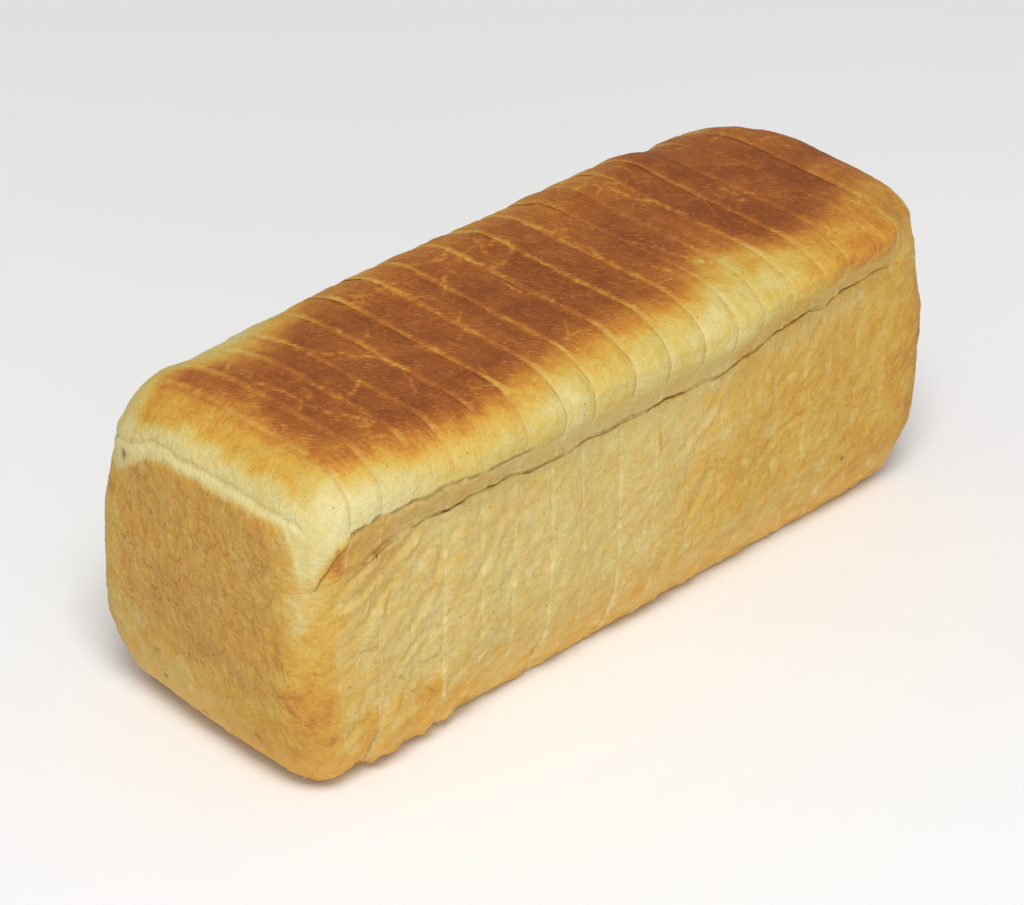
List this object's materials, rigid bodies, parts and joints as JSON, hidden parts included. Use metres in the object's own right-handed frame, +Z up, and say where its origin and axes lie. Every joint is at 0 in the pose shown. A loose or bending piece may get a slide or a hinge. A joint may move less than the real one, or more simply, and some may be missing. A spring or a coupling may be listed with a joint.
{
  "type": "sliced tin loaf",
  "caption": "Long flat-topped loaf of white bread baked in a lidded tin, machine sliced, its slices standing together between two rounded heels.",
  "frame": {"origin": "middle of the loaf's footprint, on the surface it stands on", "axes": "+X along the loaf, -Y the front side with the wider overhanging shoulder, +Z up"},
  "size_m": [0.285, 0.1066, 0.111],
  "materials": {
    "slice_crust": "soft baked crust, dark brown on the lid side, cream on the shoulders, with pale crumb on the cut faces",
    "heel_crust": "soft tan crust with fine wrinkles over the whole end, with pale crumb on the cut face"
  },
  "bodies": {
    "root": {"heel_a": "heel_crust", "slice_01": "slice_crust", "slice_02": "slice_crust", "slice_03": "slice_crust", "slice_04": "slice_crust", "slice_05": "slice_crust", "slice_06": "slice_crust", "slice_07": "slice_crust", "slice_08": "slice_crust", "slice_09": "slice_crust", "slice_10": "slice_crust", "slice_11": "slice_crust", "slice_12": "slice_crust", "slice_13": "slice_crust", "slice_14": "slice_crust", "slice_15": "slice_crust", "slice_16": "slice_crust", "slice_17": "slice_crust", "heel_b": "heel_crust"}
  },
  "joints": []
}
